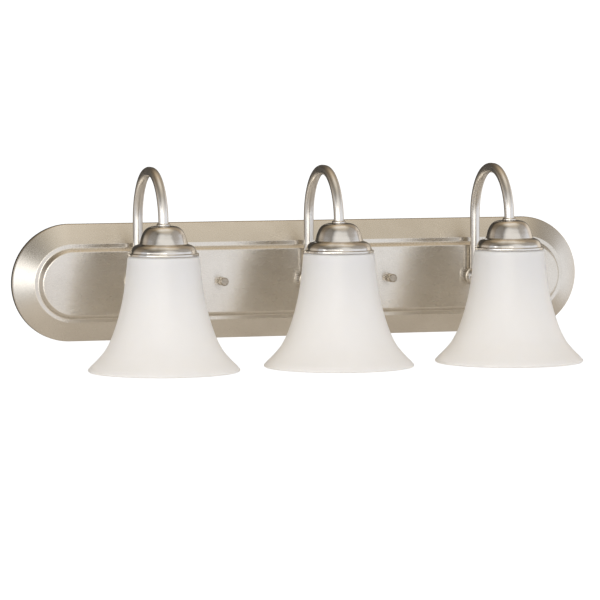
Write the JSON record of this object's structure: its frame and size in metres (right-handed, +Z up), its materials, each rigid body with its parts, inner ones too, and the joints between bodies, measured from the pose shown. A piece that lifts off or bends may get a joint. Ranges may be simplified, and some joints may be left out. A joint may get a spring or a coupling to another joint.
{
  "type": "vanity light bar",
  "caption": "Wall light bar: a racetrack backplate with gooseneck arms that carry downward bell glass shades on two-tier fitters.",
  "frame": {"origin": "centre of the back plane, where the backplate and the strap meet the wall", "axes": "+X along the wall to the viewer's right, +Y into the wall, +Z up"},
  "size_m": [0.6094, 0.2174, 0.2007],
  "materials": {
    "satin_nickel": "satin plated, fine brushing",
    "opal_glass": "satin etched opal",
    "zinc_steel": "bright zinc",
    "socket_moulding": "moulded phenolic",
    "ring_moulding": "moulded",
    "shell_brass": "drawn sheet",
    "lead_black": "extruded insulation",
    "lead_white": "extruded insulation",
    "connector_orange": "moulded",
    "ground_green": "green dyed"
  },
  "bodies": {
    "fixture": {"backplate": "satin_nickel", "arm_tube_left": "satin_nickel", "arm_elbow_left": "satin_nickel", "arm_collar_left": "satin_nickel", "fitter_left": "satin_nickel", "socket_cap_left": "zinc_steel", "socket_body_left": "socket_moulding", "socket_shell_left": "shell_brass", "socket_contact_left": "shell_brass", "lead_black_left": "lead_black", "lead_white_left": "lead_white", "arm_tube_mid": "satin_nickel", "arm_elbow_mid": "satin_nickel", "arm_collar_mid": "satin_nickel", "fitter_mid": "satin_nickel", "socket_cap_mid": "zinc_steel", "socket_body_mid": "socket_moulding", "socket_shell_mid": "shell_brass", "socket_contact_mid": "shell_brass", "lead_black_mid": "lead_black", "lead_white_mid": "lead_white", "arm_tube_right": "satin_nickel", "arm_elbow_right": "satin_nickel", "arm_collar_right": "satin_nickel", "fitter_right": "satin_nickel", "socket_cap_right": "zinc_steel", "socket_body_right": "socket_moulding", "socket_shell_right": "shell_brass", "socket_contact_right": "shell_brass", "lead_black_right": "lead_black", "lead_white_right": "lead_white", "arm_locknuts": "zinc_steel", "arm_lockwashers": "zinc_steel", "wall_strap": "zinc_steel", "strap_studs": "zinc_steel", "strap_nuts": "zinc_steel", "ground_screw": "ground_green", "connector_black": "connector_orange", "connector_white": "connector_orange"},
    "washer_left": {"washer_left": "satin_nickel"},
    "cap_nut_left": {"cap_nut_left": "satin_nickel"},
    "washer_right": {"washer_right": "satin_nickel"},
    "cap_nut_right": {"cap_nut_right": "satin_nickel"},
    "shade_left": {"shade_left": "opal_glass"},
    "shade_ring_left": {"shade_ring_left": "ring_moulding"},
    "shade_mid": {"shade_mid": "opal_glass"},
    "shade_ring_mid": {"shade_ring_mid": "ring_moulding"},
    "shade_right": {"shade_right": "opal_glass"},
    "shade_ring_right": {"shade_ring_right": "ring_moulding"}
  },
  "joints": [
    {"name": "washer_left_slide", "type": "slide", "parent": "fixture", "child": "washer_left", "axis": [0, -1, 0], "range_m": [0, 0.00635]},
    {"name": "cap_nut_left_turn", "type": "hinge", "parent": "washer_left", "child": "cap_nut_left", "pos_m": [-0.0905, -0.0278, 0], "axis": [0, -1, 0], "range_deg": [0, 2880.1]},
    {"name": "washer_right_slide", "type": "slide", "parent": "fixture", "child": "washer_right", "axis": [0, -1, 0], "range_m": [0, 0.00635]},
    {"name": "cap_nut_right_turn", "type": "hinge", "parent": "washer_right", "child": "cap_nut_right", "pos_m": [0.0905, -0.0278, 0], "axis": [0, -1, 0], "range_deg": [0, 2880.1]},
    {"name": "shade_left_lower", "type": "slide", "parent": "fixture", "child": "shade_left", "axis": [0, 0, -1], "range_m": [0, 0.01]},
    {"name": "shade_ring_left_turn", "type": "hinge", "parent": "shade_left", "child": "shade_ring_left", "pos_m": [-0.181, -0.142, 0.026], "axis": [0, 0, -1], "range_deg": [0, 1440.1]},
    {"name": "shade_mid_lower", "type": "slide", "parent": "fixture", "child": "shade_mid", "axis": [0, 0, -1], "range_m": [0, 0.01]},
    {"name": "shade_ring_mid_turn", "type": "hinge", "parent": "shade_mid", "child": "shade_ring_mid", "pos_m": [0, -0.142, 0.026], "axis": [0, 0, -1], "range_deg": [0, 1440.1]},
    {"name": "shade_right_lower", "type": "slide", "parent": "fixture", "child": "shade_right", "axis": [0, 0, -1], "range_m": [0, 0.01]},
    {"name": "shade_ring_right_turn", "type": "hinge", "parent": "shade_right", "child": "shade_ring_right", "pos_m": [0.181, -0.142, 0.026], "axis": [0, 0, -1], "range_deg": [0, 1440.1]}
  ],
  "couplings": [
    {"joint": "cap_nut_left_turn", "follows": "washer_left_slide", "rad_per_m": 7915.8},
    {"joint": "cap_nut_right_turn", "follows": "washer_right_slide", "rad_per_m": 7915.8},
    {"joint": "shade_ring_left_turn", "follows": "shade_left_lower", "rad_per_m": 2513.3},
    {"joint": "shade_ring_mid_turn", "follows": "shade_mid_lower", "rad_per_m": 2513.3},
    {"joint": "shade_ring_right_turn", "follows": "shade_right_lower", "rad_per_m": 2513.3}
  ]
}
